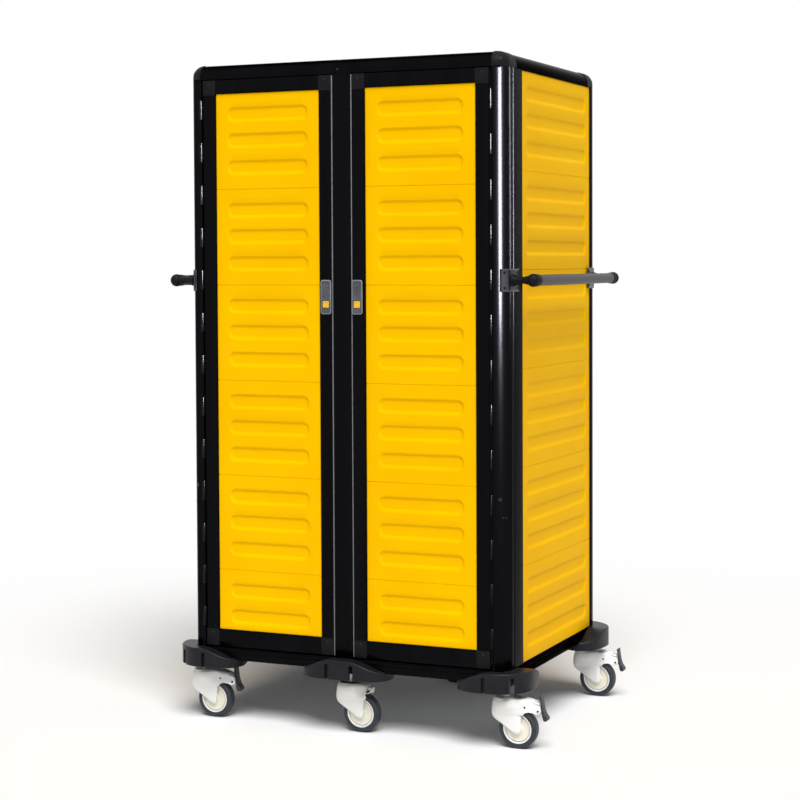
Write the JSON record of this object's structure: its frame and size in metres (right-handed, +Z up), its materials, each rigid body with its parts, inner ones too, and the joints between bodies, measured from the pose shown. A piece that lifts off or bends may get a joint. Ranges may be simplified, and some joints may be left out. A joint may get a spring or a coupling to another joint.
{
  "type": "enclosed meal tray cart",
  "caption": "Enclosed upright trolley with hinged ribbed doors over stacked tray ledges, side push bars, corner bumpers and swivel casters with brake pedals.",
  "frame": {"origin": "on the floor, under the middle of the cabinet", "axes": "+Z up, -Y out of the doors, +X towards the right-hand door as seen from the front"},
  "size_m": [0.9379, 0.68, 1.523],
  "materials": {
    "black_profile": "glossy black coating",
    "yellow_panel": "smooth moulded yellow",
    "grey_lining": "satin light grey",
    "black_plastic": "satin black",
    "bumper_plastic": "satin charcoal",
    "latch_grey": "satin grey",
    "button_yellow": "satin yellow",
    "hinge_metal": "satin",
    "grey_tube": "satin grey coating",
    "white_plastic": "smooth white",
    "cream_plastic": "satin cream",
    "grey_tyre": "smooth blue-grey tread"
  },
  "bodies": {
    "cart": {"base_frame": "black_profile", "roof_cap": "black_profile", "centre_post": "black_profile", "floor_panel": "grey_lining", "centre_partition": "grey_lining", "back_panel": "yellow_panel", "right_front_post": "black_profile", "right_rear_post": "black_profile", "right_hinge_post_leaf": "black_profile", "right_side_panel": "yellow_panel", "right_runner_liner": "grey_lining", "right_handle_bar": "grey_tube", "right_front_handle_bracket": "black_plastic", "right_rear_handle_bracket": "black_plastic", "left_front_post": "black_profile", "left_rear_post": "black_profile", "left_hinge_post_leaf": "black_profile", "left_side_panel": "yellow_panel", "left_runner_liner": "grey_lining", "left_handle_bar": "grey_tube", "left_front_handle_bracket": "black_plastic", "left_rear_handle_bracket": "black_plastic", "front_left_bumper": "bumper_plastic", "front_middle_bumper": "bumper_plastic", "front_right_bumper": "bumper_plastic", "rear_left_bumper": "bumper_plastic", "rear_middle_bumper": "bumper_plastic", "rear_right_bumper": "bumper_plastic"},
    "right_door": {"right_door_frame": "black_profile", "right_door_panel": "yellow_panel", "right_latch_plate": "latch_grey", "right_hinge_door_leaf": "hinge_metal"},
    "right_button": {"right_latch_button": "button_yellow"},
    "left_door": {"left_door_frame": "black_profile", "left_door_panel": "yellow_panel", "left_latch_plate": "latch_grey", "left_hinge_door_leaf": "hinge_metal"},
    "left_button": {"left_latch_button": "button_yellow"},
    "front_left_caster": {"front_left_caster_housing": "white_plastic"},
    "front_left_wheel": {"front_left_wheel_hub": "cream_plastic", "front_left_wheel_tyre": "grey_tyre"},
    "front_left_pedal": {"front_left_brake_pedal": "black_plastic"},
    "front_middle_caster": {"front_middle_caster_housing": "white_plastic"},
    "front_middle_wheel": {"front_middle_wheel_hub": "cream_plastic", "front_middle_wheel_tyre": "grey_tyre"},
    "front_right_caster": {"front_right_caster_housing": "white_plastic"},
    "front_right_wheel": {"front_right_wheel_hub": "cream_plastic", "front_right_wheel_tyre": "grey_tyre"},
    "front_right_pedal": {"front_right_brake_pedal": "black_plastic"},
    "rear_left_caster": {"rear_left_caster_housing": "white_plastic"},
    "rear_left_wheel": {"rear_left_wheel_hub": "cream_plastic", "rear_left_wheel_tyre": "grey_tyre"},
    "rear_left_pedal": {"rear_left_brake_pedal": "black_plastic"},
    "rear_middle_caster": {"rear_middle_caster_housing": "white_plastic"},
    "rear_middle_wheel": {"rear_middle_wheel_hub": "cream_plastic", "rear_middle_wheel_tyre": "grey_tyre"},
    "rear_right_caster": {"rear_right_caster_housing": "white_plastic"},
    "rear_right_wheel": {"rear_right_wheel_hub": "cream_plastic", "rear_right_wheel_tyre": "grey_tyre"},
    "rear_right_pedal": {"rear_right_brake_pedal": "black_plastic"}
  },
  "joints": [
    {"name": "right_door_hinge", "type": "hinge", "parent": "cart", "child": "right_door", "pos_m": [0.359, -0.311, 0.83], "axis": [0, 0, 1], "range_deg": [0, 170]},
    {"name": "right_button_press", "type": "slide", "parent": "right_door", "child": "right_button", "axis": [0, 1, 0], "range_m": [0, 0.004], "stiffness_N_per_m": 900, "springref_m": -0.0015},
    {"name": "left_door_hinge", "type": "hinge", "parent": "cart", "child": "left_door", "pos_m": [-0.359, -0.311, 0.83], "axis": [0, 0, -1], "range_deg": [0, 170]},
    {"name": "left_button_press", "type": "slide", "parent": "left_door", "child": "left_button", "axis": [0, 1, 0], "range_m": [0, 0.004], "stiffness_N_per_m": 900, "springref_m": -0.0015},
    {"name": "front_left_swivel", "type": "hinge", "parent": "cart", "child": "front_left_caster", "pos_m": [-0.379, -0.276, 0.12], "axis": [0, 0, 1], "continuous": true},
    {"name": "front_left_roll", "type": "hinge", "parent": "front_left_caster", "child": "front_left_wheel", "pos_m": [-0.349, -0.276, 0.044], "axis": [0, 1, 0], "continuous": true},
    {"name": "front_left_pedal_press", "type": "hinge", "parent": "front_left_caster", "child": "front_left_pedal", "pos_m": [-0.301, -0.276, 0.087], "axis": [0, 1, 0], "range_deg": [0, 12]},
    {"name": "front_middle_swivel", "type": "hinge", "parent": "cart", "child": "front_middle_caster", "pos_m": [0, -0.276, 0.12], "axis": [0, 0, 1], "continuous": true},
    {"name": "front_middle_roll", "type": "hinge", "parent": "front_middle_caster", "child": "front_middle_wheel", "pos_m": [0.03, -0.276, 0.044], "axis": [0, 1, 0], "continuous": true},
    {"name": "front_right_swivel", "type": "hinge", "parent": "cart", "child": "front_right_caster", "pos_m": [0.379, -0.276, 0.12], "axis": [0, 0, 1], "continuous": true},
    {"name": "front_right_roll", "type": "hinge", "parent": "front_right_caster", "child": "front_right_wheel", "pos_m": [0.409, -0.276, 0.044], "axis": [0, 1, 0], "continuous": true},
    {"name": "front_right_pedal_press", "type": "hinge", "parent": "front_right_caster", "child": "front_right_pedal", "pos_m": [0.457, -0.276, 0.087], "axis": [0, 1, 0], "range_deg": [0, 12]},
    {"name": "rear_left_swivel", "type": "hinge", "parent": "cart", "child": "rear_left_caster", "pos_m": [-0.379, 0.276, 0.12], "axis": [0, 0, 1], "continuous": true},
    {"name": "rear_left_roll", "type": "hinge", "parent": "rear_left_caster", "child": "rear_left_wheel", "pos_m": [-0.349, 0.276, 0.044], "axis": [0, 1, 0], "continuous": true},
    {"name": "rear_left_pedal_press", "type": "hinge", "parent": "rear_left_caster", "child": "rear_left_pedal", "pos_m": [-0.301, 0.276, 0.087], "axis": [0, 1, 0], "range_deg": [0, 12]},
    {"name": "rear_middle_swivel", "type": "hinge", "parent": "cart", "child": "rear_middle_caster", "pos_m": [0, 0.276, 0.12], "axis": [0, 0, 1], "continuous": true},
    {"name": "rear_middle_roll", "type": "hinge", "parent": "rear_middle_caster", "child": "rear_middle_wheel", "pos_m": [0.03, 0.276, 0.044], "axis": [0, 1, 0], "continuous": true},
    {"name": "rear_right_swivel", "type": "hinge", "parent": "cart", "child": "rear_right_caster", "pos_m": [0.379, 0.276, 0.12], "axis": [0, 0, 1], "continuous": true},
    {"name": "rear_right_roll", "type": "hinge", "parent": "rear_right_caster", "child": "rear_right_wheel", "pos_m": [0.409, 0.276, 0.044], "axis": [0, 1, 0], "continuous": true},
    {"name": "rear_right_pedal_press", "type": "hinge", "parent": "rear_right_caster", "child": "rear_right_pedal", "pos_m": [0.457, 0.276, 0.087], "axis": [0, 1, 0], "range_deg": [0, 12]}
  ]
}
